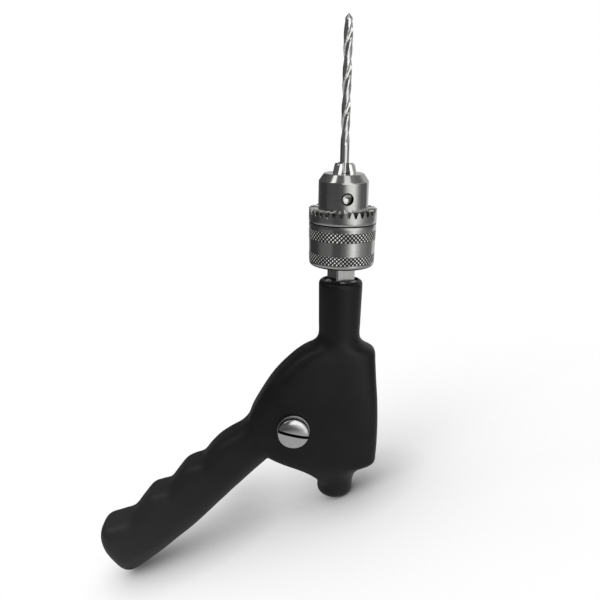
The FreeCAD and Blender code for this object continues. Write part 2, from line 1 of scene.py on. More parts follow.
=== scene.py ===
import math
import bmesh
import bpy
from mathutils import Matrix, Vector
from mathutils.bvhtree import BVHTree


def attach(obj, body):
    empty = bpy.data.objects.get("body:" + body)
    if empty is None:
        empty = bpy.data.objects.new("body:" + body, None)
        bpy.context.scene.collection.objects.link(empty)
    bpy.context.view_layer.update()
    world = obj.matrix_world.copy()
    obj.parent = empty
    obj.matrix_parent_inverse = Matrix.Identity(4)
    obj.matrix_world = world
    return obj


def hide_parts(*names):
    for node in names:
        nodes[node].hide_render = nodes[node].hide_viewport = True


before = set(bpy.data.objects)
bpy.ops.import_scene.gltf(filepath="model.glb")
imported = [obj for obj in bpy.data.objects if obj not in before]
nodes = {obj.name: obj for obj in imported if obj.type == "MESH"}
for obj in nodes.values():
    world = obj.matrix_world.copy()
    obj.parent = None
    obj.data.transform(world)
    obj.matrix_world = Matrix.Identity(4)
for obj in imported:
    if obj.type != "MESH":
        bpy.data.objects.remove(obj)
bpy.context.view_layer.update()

# Camera. The lens stands a forearm's length in front of the drill's near side, a little
# above the chuck's nose, and looks down on the grip.
mm = 0.001
camera_place = Vector((-17.9 * mm, -310.0 * mm, 35.4 * mm))
camera_pitch = math.radians(16.5)
camera_roll = math.radians(0.85)
forward = Vector((0, math.cos(camera_pitch), -math.sin(camera_pitch)))
level_right = Vector((1, 0, 0))
level_up = level_right.cross(forward)
right = level_right * math.cos(camera_roll) + level_up * math.sin(camera_roll)
up = level_up * math.cos(camera_roll) - level_right * math.sin(camera_roll)
lens = bpy.data.cameras.new("camera")
lens.sensor_width = 36.0
lens.lens = 43.5
lens.clip_start = 0.01
camera = bpy.data.objects.new("camera", lens)
camera.matrix_world = Matrix.Translation(camera_place) @ Matrix((right, up, -forward)).transposed().to_4x4()
bpy.context.scene.collection.objects.link(camera)
bpy.context.scene.camera = camera


# Moulded body. One piece of black filled plastic with a satin skin: round neck, slab-sided
# gear case, rear nub and swept grip. It is moulded round cores, then bored for spindle and gears.
axle_x = -20.0
axle_height = -114.0
# Rows down the case: height, left edge, right edge, half thickness, squareness of the outline
case_rows = (
    (-71.0, -9.2, 9.2, 9.2, 2.0),
    (-74.0, -10.0, 9.8, 9.4, 2.0),
    (-76.5, -12.5, 12.3, 9.7, 2.2),
    (-79.0, -17.0, 16.2, 10.0, 2.6),
    (-84.0, -22.6, 16.8, 10.6, 3.2),
    (-92.0, -29.6, 17.4, 11.3, 3.8),
    (-102.0, -35.8, 18.3, 11.8, 4.2),
    (-112.0, -40.6, 18.8, 12.0, 4.5),
    (-122.0, -41.4, 18.88, 12.0, 4.6),
    (-129.0, -35.4, 18.6, 12.0, 4.6),
    (-133.2, -27.8, 17.9, 11.6, 4.4),
    (-136.3, -21.0, 12.6, 10.8, 3.4),
    (-139.0, -16.2, 10.2, 9.8, 2.7),
    (-142.0, -12.0, 9.0, 8.8, 2.2),
    (-145.0, -8.5, 8.4, 8.2, 2.0),
)
grip_root = Vector((-36.0, 0, -125.0))
grip_slope = math.radians(42.0)
# Rows along the grip: distance from its root, finger side, palm side, half thickness
grip_rows = (
    (-6, 12.6, -8.6, 10.2),
    (1, 11.4, -9.0, 10.6),
    (8, 12.6, -9.3, 10.7),
    (14, 13.2, -9.6, 10.8),
    (20, 12.7, -10.0, 10.8),
    (26, 11.7, -10.3, 10.8),
    (31, 13.5, -10.8, 10.9),
    (35, 14.3, -11.1, 10.9),
    (41, 13.2, -11.6, 11.0),
    (48, 11.8, -12.1, 11.2),
    (53, 13.8, -12.4, 11.4),
    (57, 15.1, -12.5, 11.5),
    (64, 13.8, -12.4, 11.7),
    (73, 12.1, -12.4, 11.9),
    (80, 14.6, -12.2, 12.0),
    (86, 16.9, -12.0, 11.8),
    (90.3, 14.98, -11.8, 10.9),
    (93.4, 11.0, -11.2, 9.3),
    (95.5, 6.0, -10.2, 7.0),
    (96.8, 1.0, -8.8, 4.6),
    (97.4, -2.2, -7.2, 2.2),
)
palm_fullness = 2.3
finger_fullness = 3.2
ring_points = 96
neck_radius = 9.7
neck_foot_radius = 9.2
neck_top = -46.5
neck_foot = -72.0
neck_rim = 1.8
nub_radius = 8.3
nub_top = -120
nub_bottom = -152.3
nub_edge = 3.5
skin_voxel = 0.55 * mm
seam_reach = 3.4 * mm
tunnel_radius = 6.1
tunnel_floor = -149.8
flange_radius = 7.62
flange_floor = -48.2
chamber_radius = 16.1
chamber_near = -7.6
cover_seat = 8.0
cover_radius = 17.3
bush_hole = 6.0
dark_satin = (0.005, 0.005, 0.0052)
worn_satin = (0.0075, 0.0075, 0.0077)
# Painted light: a lighter satin laid on along X towards the grip's end, where more light falls from the table
# and the front.
painted_light_satin = (0.023, 0.023, 0.0235)
painted_light_from, painted_light_to = -34 * mm, -104 * mm
satin_grain, satin_ripple, satin_clouds, satin_rub = 1400.0, 60.0, 90.0, 22.0


def eased(rows, steps):
    """More rows between the given ones, on smooth curves through them."""
    finer = [rows[0]]
    last = len(rows) - 1
    for i in range(last):
        before, first = rows[max(i - 1, 0)], rows[i]
        second, after = rows[i + 1], rows[min(i + 2, last)]
        for step in range(1, steps + 1):
            t = step / steps
            finer.append([0.5 * (2 * b + (c - a) * t + (2 * a - 5 * b + 4 * c - d) * t * t
                                 + (3 * b - a - 3 * c + d) * t ** 3)
                          for a, b, c, d in zip(before, first, second, after)])
    return finer


def oval(centre, across, half_width, half_depth, fullness_low, fullness_high):
    """Ring round a centre; each side across it has its own fullness."""
    ring = []
    for i in range(ring_points):
        angle = 2 * math.pi * i / ring_points
        c, s = math.cos(angle), math.sin(angle)
        blend = 0.5 + 0.5 * max(-1.0, min(1.0, 2 * c))
        fullness = fullness_low + (fullness_high - fullness_low) * blend
        x = half_width * math.copysign(abs(c) ** (2 / fullness), c)
        y = half_depth * math.copysign(abs(s) ** (2 / fullness), s)
        ring.append((centre + across * x + Vector((0, y, 0))) * mm)
    return ring


def closed_mesh(name, points, faces):
    """A new object from points and faces, with its faces turned outwards."""
    mesh = bpy.data.meshes.new(name)
    mesh.from_pydata(points, [], faces)
    outward = bmesh.new()
    outward.from_mesh(mesh)
    bmesh.ops.recalc_face_normals(outward, faces=outward.faces)
    outward.to_mesh(mesh)
    outward.free()
    piece = bpy.data.objects.new(name, mesh)
    bpy.context.scene.collection.objects.link(piece)
    return piece


def skinned(name, rings):
    """A closed skin through rings of points that match one another."""
    count = len(rings[0])
    points = [p for ring in rings for p in ring]
    faces = [tuple(reversed(range(count))), tuple(range(len(points) - count, len(points)))]
    for row in range(len(rings) - 1):
        for i in range(count):
            a, b = row * count + i, row * count + (i + 1) % count
            faces.append((a, b, b + count, a + count))
    return closed_mesh(name, points, faces)


def turned(name, profile, segments=128, closed=False, shaped=None, start=0.0):
    """A piece turned about Z from (radius, height) pairs in millimetres; shaped moves its points."""
    points = []
    rows = []
    for row, (radius, height) in enumerate(profile):
        if radius < 1e-6:
            rows.append([len(points)] * segments)
            points.append((0, 0, height * mm))
            continue
        rows.append([len(points) + i for i in range(segments)])
        for i in range(segments):
            angle = start + 2 * math.pi * i / segments
            out, high = shaped(row, i, radius, height) if shaped else (radius, height)
            points.append((out * math.cos(angle) * mm, out * math.sin(angle) * mm, high * mm))
    if closed:
        rows.append(rows[0])
    faces = []
    for low, high in zip(rows, rows[1:]):
        for i in range(segments):
            j = (i + 1) % segments
            corners = list(dict.fromkeys((low[i], low[j], high[j], high[i])))
            if len(corners) > 2:
                faces.append(corners)
    return closed_mesh(name, points, faces)


def apply_modifiers(piece):
    """Keep the piece's final mesh and drop its modifiers."""
    graph = bpy.context.evaluated_depsgraph_get()
    final = bpy.data.meshes.new_from_object(piece.evaluated_get(graph))
    piece.modifiers.clear()
    piece.data = final


def cut(piece, tool, operation="DIFFERENCE"):
    """Cut a piece by a tool, or join the tool to it, and throw the tool away."""
    step = piece.modifiers.new("cut", "BOOLEAN")
    step.operation = operation
    step.solver = "EXACT"
    step.object = tool
    apply_modifiers(piece)
    bpy.data.objects.remove(tool)


def smooth(piece, degrees=32):
    """Smooth shading that keeps the edges sharper than an angle, and the broad faces flat."""
    piece.data.shade_smooth()
    piece.data.set_sharp_from_angle(angle=math.radians(degrees))
    flat = piece.modifiers.new("flat", "WEIGHTED_NORMAL")
    flat.mode = "FACE_AREA"
    flat.keep_sharp = True
    apply_modifiers(piece)


def join(pieces, name):
    """One object from several."""
    whole = bmesh.new()
    for piece in pieces:
        piece.data.transform(piece.matrix_world)
        whole.from_mesh(piece.data)
    mesh = bpy.data.meshes.new(name)
    whole.to_mesh(mesh)
    whole.free()
    for piece in pieces:
        bpy.data.objects.remove(piece)
    joined = bpy.data.objects.new(name, mesh)
    bpy.context.scene.collection.objects.link(joined)
    return joined


def on_axle(piece):
    """Lay a piece made along Z on the crank axle, its top towards the crank side."""
    piece.data.transform(Matrix.Translation((axle_x * mm, 0, axle_height * mm))
                         @ Matrix.Rotation(-math.pi / 2, 4, "X"))
    return piece


case = skinned("case", [oval(Vector(((left + side) / 2, 0, height)), Vector((1, 0, 0)), (side - left) / 2, half,
                             full, full) for height, left, side, half, full in eased(case_rows, 8)])
along = Vector((-math.cos(grip_slope), 0, -math.sin(grip_slope)))
across = Vector((-math.sin(grip_slope), 0, math.cos(grip_slope)))
grip_rings = []
for distance, finger, palm, half in eased(grip_rows, 10):
    centre = grip_root + along * distance + across * ((finger + palm) / 2)
    grip_rings.append(oval(centre, across, (finger - palm) / 2, half, palm_fullness, finger_fullness))
grip = skinned("grip", grip_rings)
neck_corner = [(neck_radius - neck_rim * (1 - math.cos(t)), neck_top - neck_rim * (1 - math.sin(t)))
               for t in (math.radians(a) for a in range(90, -1, -10))]
neck = turned("neck", [(0, neck_top)] + neck_corner + [(neck_foot_radius, neck_foot), (0, neck_foot)])
nub_corner = [(nub_radius - nub_edge * (1 - math.cos(t)), nub_bottom + nub_edge * (1 - math.sin(t)))
              for t in (math.radians(a) for a in range(0, 91, 10))]
nub = turned("nub", [(0, nub_top), (nub_radius, nub_top)] + nub_corner + [(0, nub_bottom)])
shapes = [BVHTree.FromObject(shape, bpy.context.evaluated_depsgraph_get()) for shape in (case, grip, neck, nub)]
body = join([case, grip, neck, nub], "moulded_body")
skin = body.modifiers.new("skin", "REMESH")
skin.mode = "VOXEL"
skin.voxel_size = skin_voxel
apply_modifiers(body)

seams = body.vertex_groups.new(name="seams")
everywhere = body.vertex_groups.new(name="everywhere")
for vertex in body.data.vertices:
    near = sorted(shape.find_nearest(vertex.co)[3] for shape in shapes)
    closeness = 1 - near[1] / seam_reach
    if closeness > 0:
        seams.add([vertex.index], min(1.0, 1.5 * closeness), "REPLACE")
    everywhere.add([vertex.index], 1.0, "REPLACE")
for group, rounds, strength in (("seams", 30, 0.6), ("everywhere", 4, 0.5)):
    ease = body.modifiers.new(group, "SMOOTH")
    ease.vertex_group = group
    ease.iterations = rounds
    ease.factor = strength
apply_modifiers(body)

cut(body, turned("tunnel", [(0, tunnel_floor), (tunnel_radius, tunnel_floor), (tunnel_radius, flange_floor),
                            (flange_radius, flange_floor), (flange_radius, -40), (0, -40)]))
cut(body, on_axle(turned("chamber", [
    (0, -20), (bush_hole, -20), (bush_hole, chamber_near), (chamber_radius, chamber_near),
    (chamber_radius, cover_seat), (cover_radius, cover_seat), (cover_radius, 20), (0, 20)])))
smooth(body, 40)


def material(name, colour, metallic, roughness):
    """A new material; gives it back with its node tree, its shader and its object coordinates."""
    made = bpy.data.materials.new(name)
    made.use_nodes = True
    tree = made.node_tree
    shader = tree.nodes["Principled BSDF"]
    shader.inputs["Base Color"].default_value = (*colour, 1)
    shader.inputs["Metallic"].default_value = metallic
    shader.inputs["Roughness"].default_value = roughness
    place = tree.nodes.new("ShaderNodeTexCoord").outputs["Object"]
    return made, tree, shader, place


def noise(tree, place, scale, detail=4.0):
    """A noise texture on the given coordinates."""
    texture = tree.nodes.new("ShaderNodeTexNoise")
    texture.inputs["Scale"].default_value = scale
    texture.inputs["Detail"].default_value = detail
    tree.links.new(place, texture.inputs["Vector"])
    return texture.outputs["Fac"]


def between(tree, value, low, high, out_low, out_high):
    """Carry a value from one range to another."""
    spread = tree.nodes.new("ShaderNodeMapRange")
    spread.inputs["From Min"].default_value = low
    spread.inputs["From Max"].default_value = high
    spread.inputs["To Min"].default_value = out_low
    spread.inputs["To Max"].default_value = out_high
    tree.links.new(value, spread.inputs["Value"])
    return spread.outputs["Result"]


def relief(tree, shader, height, depth):
    """Raise the surface by a height pattern, after any relief it already has."""
    bump = tree.nodes.new("ShaderNodeBump")
    bump.inputs["Distance"].default_value = depth
    bump.inputs["Strength"].default_value = 1.0
    tree.links.new(height, bump.inputs["Height"])
    if shader.inputs["Normal"].is_linked:
        tree.links.new(shader.inputs["Normal"].links[0].from_socket, bump.inputs["Normal"])
    tree.links.new(bump.outputs["Normal"], shader.inputs["Normal"])


def parts_of(tree, vector):
    """The X, Y and Z of a vector, as sockets."""
    apart = tree.nodes.new("ShaderNodeSeparateXYZ")
    tree.links.new(vector, apart.inputs[0])
    return apart.outputs


def mixed_colour(tree, share, first, second):
    """A colour between two colours or colour sockets, by a share."""
    mix = tree.nodes.new("ShaderNodeMix")
    mix.data_type = "RGBA"
    tree.links.new(share, mix.inputs[0])
    for colour, socket in ((first, mix.inputs[6]), (second, mix.inputs[7])):
        if isinstance(colour, tuple):
            socket.default_value = (*colour, 1)
        else:
            tree.links.new(colour, socket)
    return mix.outputs[2]


def tint(tree, shader, mask, colour):
    """Lay another colour over a finish where a mask is set."""
    base = shader.inputs["Base Color"]
    tree.links.new(mixed_colour(tree, mask, base.links[0].from_socket, colour), base)


def placed(piece, finish, slot, body, *replaced):
    """Give a finished mesh its material, hide the nodes it stands for and hang it on the body it rides on."""
    piece.data.materials.clear()
    piece.data.materials.append(finish)
    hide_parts(*replaced)
    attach(piece, body)


black_body, tree, shader, place = material("black_body", dark_satin, 0.0, 0.4)
shader.inputs["Specular IOR Level"].default_value = 0.27
clouds = between(tree, noise(tree, place, satin_clouds), 0.35, 0.7, 0, 1)
tree.links.new(mixed_colour(tree, clouds, dark_satin, worn_satin), shader.inputs["Base Color"])
# Painted light: the body's colour turns lighter along X towards the grip's end, for the light that falls there.
tint(tree, shader, between(tree, parts_of(tree, place)["X"], painted_light_from, painted_light_to, 0, 1), painted_light_satin)
rubbed = noise(tree, place, satin_rub, 2.0)
tree.links.new(between(tree, rubbed, 0.3, 0.7, 0.38, 0.46), shader.inputs["Roughness"])
relief(tree, shader, noise(tree, place, satin_grain, 2.0), 0.015 * mm)
relief(tree, shader, noise(tree, place, satin_ripple, 1.0), 0.03 * mm)
placed(body, black_body, "black_body", "body", "drill_body")


# Spindle, bushes and gears. Ground steel shafts, hobbed gears and turned bushes, shut in the body
# but for the bush's flange, the wrench square and the covers of the axle.
bush_bore = 4.05
bush_outside = 6.08
bush_flange_radius = 7.6
bush_top = -47.3
bush_flange_height = 0.9
bush_foot = -66.8
bronze_colour = (0.55, 0.37, 0.2)
tool_lines, scuff_scale, cloud_scale = 4500.0, 700.0, 110.0


def reckoned(tree, operation, *values, kind="ShaderNodeMath", out=0):
    """The result of one operation on sockets, numbers or fixed vectors."""
    step = tree.nodes.new(kind)
    step.operation = operation
    for value, socket in zip(values, step.inputs):
        if isinstance(value, bpy.types.NodeSocket):
            tree.links.new(value, socket)
        else:
            socket.default_value = value
    return step.outputs[out]


def turned_steel(name, colour, roughness, line_depth, axle=None):
    """Lathe-turned steel: fine tool lines round the axis, clouded and scuffed by handling."""
    made, tree, shader, place = material(name, colour, 1.0, roughness)
    round_axis, along_axis = ("X", "Y"), "Z"
    if axle:
        round_axis, along_axis = ("X", "Z"), "Y"
        place = reckoned(tree, "SUBTRACT", place, axle, kind="ShaderNodeVectorMath", out="Vector")
    parts = parts_of(tree, place)
    flat = tree.nodes.new("ShaderNodeCombineXYZ")
    tree.links.new(parts[round_axis[0]], flat.inputs["X"])
    tree.links.new(parts[round_axis[1]], flat.inputs["Y"])
    reach = reckoned(tree, "LENGTH", flat.outputs[0], kind="ShaderNodeVectorMath", out="Value")
    rings = tree.nodes.new("ShaderNodeCombineXYZ")
    tree.links.new(reach, rings.inputs["X"])
    tree.links.new(parts[along_axis], rings.inputs["Z"])
    scuffs = noise(tree, place, scuff_scale, 6.0)
    relief(tree, shader, noise(tree, rings.outputs[0], tool_lines, 3.0), line_depth)
    relief(tree, shader, scuffs, line_depth * 0.3)
    clouded = between(tree, noise(tree, place, cloud_scale, 5.0), 0.3, 0.7, roughness - 0.02, roughness + 0.04)
    tree.links.new(clouded, shader.inputs["Roughness"])
    dull = tuple(0.93 * part for part in colour)
    tree.links.new(mixed_colour(tree, between(tree, scuffs, 0.42, 0.62, 0, 1), dull, colour),
                   shader.inputs["Base Color"])
    return made, tree, shader, reach, parts[along_axis]


def finished(metal, *names):
    """Give carried-over nodes their material."""
    for name in names:
        nodes[name].data.materials.clear()
        nodes[name].data.materials.append(metal)


def rounded(outline, steps=4):
    """Round the corners of an outline that carry a radius as their third value."""
    out = []
    for i, corner in enumerate(outline):
        here = Vector(corner[:2])
        if len(corner) < 3:
            out.append(tuple(here))
            continue
        back = Vector(outline[i - 1][:2]) - here
        on = Vector(outline[(i + 1) % len(outline)][:2]) - here
        start = here + back.normalized() * min(corner[2], back.length / 2)
        end = here + on.normalized() * min(corner[2], on.length / 2)
        for step in range(steps + 1):
            t = step / steps
            out.append(tuple(start * (1 - t) ** 2 + here * 2 * t * (1 - t) + end * t ** 2))
    return out


spindle_steel = turned_steel("spindle_steel", (0.60, 0.60, 0.595), 0.2, 0.0008 * mm)[0]
finished(spindle_steel, "spindle", "pinion", "pinion_pin", "spacer_tube", "thrust_ball", "thrust_pad")
bronze = turned_steel("bronze", bronze_colour, 0.35, 0.004 * mm)[0]
finished(bronze, "rear_bush")
bush_steel = turned_steel("bush_steel", (0.3, 0.3, 0.297), 0.34, 0.002 * mm)[0]
bush_flange = turned("bush_flange", rounded([
    (bush_bore, bush_foot), (bush_bore, bush_top, 0.2), (bush_flange_radius, bush_top, 0.3),
    (bush_flange_radius, bush_top - bush_flange_height, 0.1), (bush_outside, bush_top - bush_flange_height),
    (bush_outside, bush_foot)]), 128, True)
smooth(bush_flange)
placed(bush_flange, bush_steel, "bush_steel", "body", "front_bush")


# Chuck body. Turned from tool steel and ground: chamfered nose, three blind holes for the chuck
# key, a bore for the bit and three tilted bores that the jaws slide in.
chuck_radius = 10.7
chuck_length = 39.2
nose_radius, nose_chamfer = 8.5, -3.2
nut_seat_radius, nut_seat_top, nut_seat_bottom = 8.76, -18.2, -23.8
tail_radius, tail_top = 12.5, -30.6
bit_bore_radius, bit_bore_floor = 3.3, -29
stub_bore_radius, stub_bore_floor = 4.02, -30.7
jaw_radius = 2.5
jaw_tilt = math.radians(14.0)
jaw_tip_offset = 1.9
jaw_reach = 4.3
jaw_bore_radius, jaw_bore_back = jaw_radius + 0.05, -34.87
key_hole_radius, key_hole_wall, key_hole_tip = 2.6, -3.2, -4.6
key_hole_height = -9.7
key_hole_angle = math.radians(-83.5)
third = math.radians(120.0)
first_jaw_angle = key_hole_angle + third / 2
chuck_colour = (0.56, 0.56, 0.553)


def jaw_bar(radius, back, front, angle):
    """A bar on the tilted axis of a jaw."""
    bar = turned("jaw_bar", [(0, back), (radius, back), (radius, front), (0, front)], 72)
    bar.data.transform(Matrix.Rotation(angle, 4, "Z")
                       @ Matrix.Translation((jaw_tip_offset * mm, 0, jaw_reach * mm))
                       @ Matrix.Rotation(-jaw_tilt, 4, "Y"))
    return bar


def masks_over(tree, *masks):
    """Where all of several masks are set."""
    product = masks[0]
    for mask in masks[1:]:
        product = reckoned(tree, "MULTIPLY", product, mask)
    return product


chuck = turned("ground_chuck", rounded([
    (0, 0), (nose_radius, 0, 0.3), (chuck_radius, nose_chamfer, 0.35), (chuck_radius, -7.0),
    (chuck_radius, -12.5), (chuck_radius, nut_seat_top, 0.2), (nut_seat_radius, nut_seat_top),
    (nut_seat_radius, nut_seat_bottom), (chuck_radius, nut_seat_bottom), (chuck_radius, tail_top),
    (tail_radius, tail_top), (tail_radius, -chuck_length, 0.4), (0, -chuck_length)]), 192)
cut(chuck, turned("bit_bore", [
    (0, bit_bore_floor), (bit_bore_radius, bit_bore_floor), (bit_bore_radius, -0.25), (3.6, 0.05), (3.6, 5),
    (0, 5)], 96))
cut(chuck, turned("stub_bore", [(0, -45), (stub_bore_radius, -45), (stub_bore_radius, stub_bore_floor),
                                (0, stub_bore_floor)], 96))
for turn in range(3):
    cut(chuck, jaw_bar(jaw_bore_radius, jaw_bore_back, 5.0, first_jaw_angle + third * turn))
    key_hole = turned("key_hole", rounded([
        (0, key_hole_tip), (key_hole_radius, key_hole_wall, 0.3), (key_hole_radius, -0.1, 0.1), (2.8, 0.1),
        (2.8, 5), (0, 5)]), 72)
    key_hole.data.transform(Matrix.Rotation(key_hole_angle + third * turn, 4, "Z")
                            @ Matrix.Translation((chuck_radius * mm, 0, key_hole_height * mm))
                            @ Matrix.Rotation(math.pi / 2, 4, "Y"))
    cut(chuck, key_hole)
smooth(chuck, 25)
chuck_steel, tree, shader, reach, height = turned_steel("chuck_steel", chuck_colour, 0.07, 0.0003 * mm)
# Painted shade: the walls of the key holes and bores below the chuck's round face are tinted near-black, where
# shade falls in them.
painted_hole_shade = masks_over(tree, between(tree, reach, 10.6 * mm, 10.45 * mm, 0, 1),
                        between(tree, reach, 7.3 * mm, 7.7 * mm, 0, 1),
                        between(tree, height, -5.0 * mm, -5.4 * mm, 0, 1))
tint(tree, shader, painted_hole_shade, (0.06, 0.058, 0.055))
placed(chuck, chuck_steel, "chuck_steel", "spindle", "chuck_body")
finished(chuck_steel, "jaw_nut")


# Jaws. Three round bars of hardened steel, ground to a wedge where they grip the bit, their
# tips bevelled to the nose.
jaw_back = -29.4
land = 1.92
land_half = 0.35
outer = 15.7
outer_half = land_half + (outer - land) * math.tan(math.radians(60))


def prism(name, outline, low, high):
    """A straight-sided solid on an outline of (x, y) points."""
    return skinned(name, [[Vector((x, y, z)) * mm for x, y in outline] for z in (low, high)])


def bevelled(piece, width, steps):
    """Break the sharp edges of a piece."""
    edge = piece.modifiers.new("edge", "BEVEL")
    edge.width = width * mm
    edge.segments = steps
    edge.limit_method = "ANGLE"
    edge.angle_limit = math.radians(35)
    apply_modifiers(piece)


jaw_steel = turned_steel("jaw_steel", (0.8, 0.8, 0.79), 0.1, 0.0002 * mm)[0]
for turn in range(3):
    jaw = jaw_bar(jaw_radius, jaw_back, 5.0, first_jaw_angle + third * turn)
    wedge = prism("wedge", ((land, -land_half), (outer, -outer_half), (outer, outer_half), (land, land_half)),
                  -chuck_length, jaw_reach)
    wedge.data.transform(Matrix.Rotation(first_jaw_angle + third * turn, 4, "Z"))
    cut(jaw, wedge, "INTERSECT")
    crown = turned("crown", [(0, -chuck_length), (outer, -chuck_length), (outer, -7.7), (3.7, jaw_reach),
                             (0, jaw_reach)], 96)
    cut(jaw, crown, "INTERSECT")
    bevelled(jaw, 0.12, 2)
    smooth(jaw, 35)
    name = "jaw_%d" % (turn + 1)
    jaw.name = name + "_ground"
    placed(jaw, jaw_steel, "chuck_steel", name, name)


# Sleeve. One turned ring: crown teeth for the chuck key round its front edge, a parting groove,
# and a skirt with two bands rolled in a diamond knurl for the fingers.
tooth_count = 30
tooth_columns = 20
inner_gap_radius, inner_gap = 10.2, 0.8
gap_growth, gap_growth_run = 1.8, 4.9
gap_top_share, gap_flank_share = 0.76, 0.52
gap_head, gap_foot = -14.88, -17.9
sleeve_bore = 10.75
ring_radius = 14.6
ring_top = -14.7
nut_room_radius, nut_room_end = 12.8, -30.3
tail_bore_radius = 12.55
groove_radius = 14.05
skirt_top, skirt_top_radius = -21.2, 14.5
skirt_bottom, skirt_bottom_radius = -38.2, 14.15
sleeve_edge = 1.3
bands = ((-23.5, -27.6), (-33.6, -37.4))
knurl_columns = 12
diamonds_high = 2.25
diamond_rise, diamond_depth, groove_share = 0.10, 0.36, 0.9
knurl_steps = round(knurl_columns * diamonds_high)


def skirt_radius(height):
    """Radius of the plain skirt at a height."""
    return (skirt_top_radius + (skirt_bottom_radius - skirt_top_radius) * (skirt_top - height)
            / (skirt_top - skirt_bottom))


def gap_depth(radius):
    """Depth of the gaps between the crown teeth, growing outwards."""
    return inner_gap + gap_growth * (radius - inner_gap_radius) / gap_growth_run


# Rows of the sleeve's surface: radius, height, depth of the tooth gaps there, place in the knurl
sleeve_rows = [(sleeve_bore, -18.5, 0.0, None)]
sleeve_rows += [(r, ring_top, gap_depth(r), None) for r in (sleeve_bore, 11.3, 12.0, 12.7, 13.4, 14.0, 14.45)]
for share in (0.0, 0.12, 0.3, 0.5, 0.7, 0.88, 1.0):
    height = gap_head * (1 - share) + gap_foot * share
    sleeve_rows.append((ring_radius, height, gap_depth(ring_radius) * (1 - share), None))
for radius, height in ((ring_radius, -19.2), (ring_radius, -20.3), (14.57, -20.4), (14.5, -20.45),
                       (groove_radius, -20.47), (14.03, -20.7), (groove_radius, -20.93), (14.42, -20.95),
                       (14.49, -21.0), (14.5, -21.08)):
    sleeve_rows.append((radius, height, 0.0, None))
for top, bottom in bands:
    sleeve_rows.append((skirt_radius(top), top + 0.9, 0.0, None))
    sleeve_rows.append((skirt_radius(top), top + 0.03, 0.0, None))
    for step in range(knurl_steps + 1):
        height = top + (bottom - top) * step / knurl_steps
        sleeve_rows.append((skirt_radius(height), height, 0.0, step / knurl_columns))
    sleeve_rows.append((skirt_radius(bottom), bottom - 0.03, 0.0, None))
for step in range(7):
    angle = math.radians(15 * step)
    radius = skirt_bottom_radius - sleeve_edge + sleeve_edge * math.cos(angle)
    sleeve_rows.append((radius, skirt_bottom - sleeve_edge * math.sin(angle), 0.0, None))
for radius, height in ((12.6, -39.5), (tail_bore_radius, -39.4), (tail_bore_radius, nut_room_end),
                       (nut_room_radius, nut_room_end), (nut_room_radius, -18.5)):
    sleeve_rows.append((radius, height, 0.0, None))


def sleeve_shape(row, column, radius, height):
    """Where a point of the turned blank lies once the teeth are cut and the bands are rolled."""
    depth, knurl = sleeve_rows[row][2:]
    across_gap = column / tooth_columns % 1
    off_gap = 2 * min(across_gap, 1 - across_gap)
    height -= depth * max(0.0, min(1.0, (gap_top_share - off_gap) / gap_flank_share))
    if knurl is not None:
        around = column / knurl_columns
        off_grooves = [abs((around + side * knurl + 0.5) % 1 - 0.5) * 2 for side in (-1, 1)]
        radius += diamond_rise - diamond_depth * (1 - min(1.0, min(off_grooves) / groove_share))
    return radius, height


sleeve = turned("knurled_sleeve", [row[:2] for row in sleeve_rows], tooth_count * tooth_columns, True,
                sleeve_shape, key_hole_angle)
smooth(sleeve, 28)
sleeve_steel, tree, shader, reach, height = turned_steel("sleeve_steel", chuck_colour, 0.09, 0.0003 * mm)
# Painted shade: the floors and sides of the gaps between the crown teeth are tinted dark, where shade falls in
# them.
painted_gap_shade = masks_over(tree, between(tree, reach, 14.58 * mm, 14.5 * mm, 0.0, 1.0),
                    between(tree, height, -14.8 * mm, -15.0 * mm, 0.0, 1.0),
                    between(tree, height, -18.6 * mm, -18.5 * mm, 0.0, 1.0))
tint(tree, shader, painted_gap_shade, (0.2, 0.197, 0.193))
rolled = reckoned(tree, "ADD", *[
    masks_over(tree, between(tree, height, (top + 0.03) * mm, top * mm, 0.0, 1.0),
               between(tree, height, (bottom - 0.03) * mm, bottom * mm, 0.0, 1.0)) for top, bottom in bands])
tint(tree, shader, rolled, (0.9, 0.9, 0.89))
# Painted shade: the knurl's grooves and the parting groove, sunk below the plain skirt, are tinted near-black
# where shade falls in them.
plain_skirt = between(tree, height, skirt_bottom * mm, skirt_top * mm, skirt_bottom_radius * mm,
                      skirt_top_radius * mm)
sunk = reckoned(tree, "SUBTRACT", plain_skirt, reach)
painted_groove_shade = masks_over(tree, between(tree, sunk, 0.06 * mm, 0.13 * mm, 0.0, 1.0),
                   between(tree, height, -20.2 * mm, -20.35 * mm, 0.0, 1.0))
tint(tree, shader, painted_groove_shade, (0.015, 0.0145, 0.014))
tree.links.new(between(tree, rolled, 0, 1, 0.1, 0.34), shader.inputs["Roughness"])
placed(sleeve, sleeve_steel, "chuck_steel", "sleeve", "chuck_sleeve")


# Drill bit. High-speed steel, ground bright: round shank, two helical flutes that run out at the
# shank, a raised margin along each land, and a point ground to a cone.
bit_radius = 1.9
bit_reach = 63.5
bit_tail = bit_reach - 85.0
bit_foot = bit_reach - 52.0
flute_pitch = 29.0
flute_start = bit_foot + 1.35
flute_middle = 127.5
flute_half = 52.5
hollow_half = 34
hollow_centre, hollow_radius = 1.95, 1.15
shoulder_angle, shoulder_radius = 35.8, 1.737
margin_angle, margin_height = 18, 0.09
run_out = 5.0
point_height = 2.4
bit_columns = 96
bit_rows = [(bit_radius - 0.3, bit_tail), (bit_radius, bit_tail + 0.3), (bit_radius, -2.0), (bit_radius, 4.0),
            (bit_radius, 8.0)]
bit_rows += [(bit_radius, bit_foot + 0.25 * step) for step in range(198)]
bit_rows += [(bit_radius, 61.0 + 0.15 * step) for step in range(17)]
bit_rows += [(bit_radius, 63.49)]


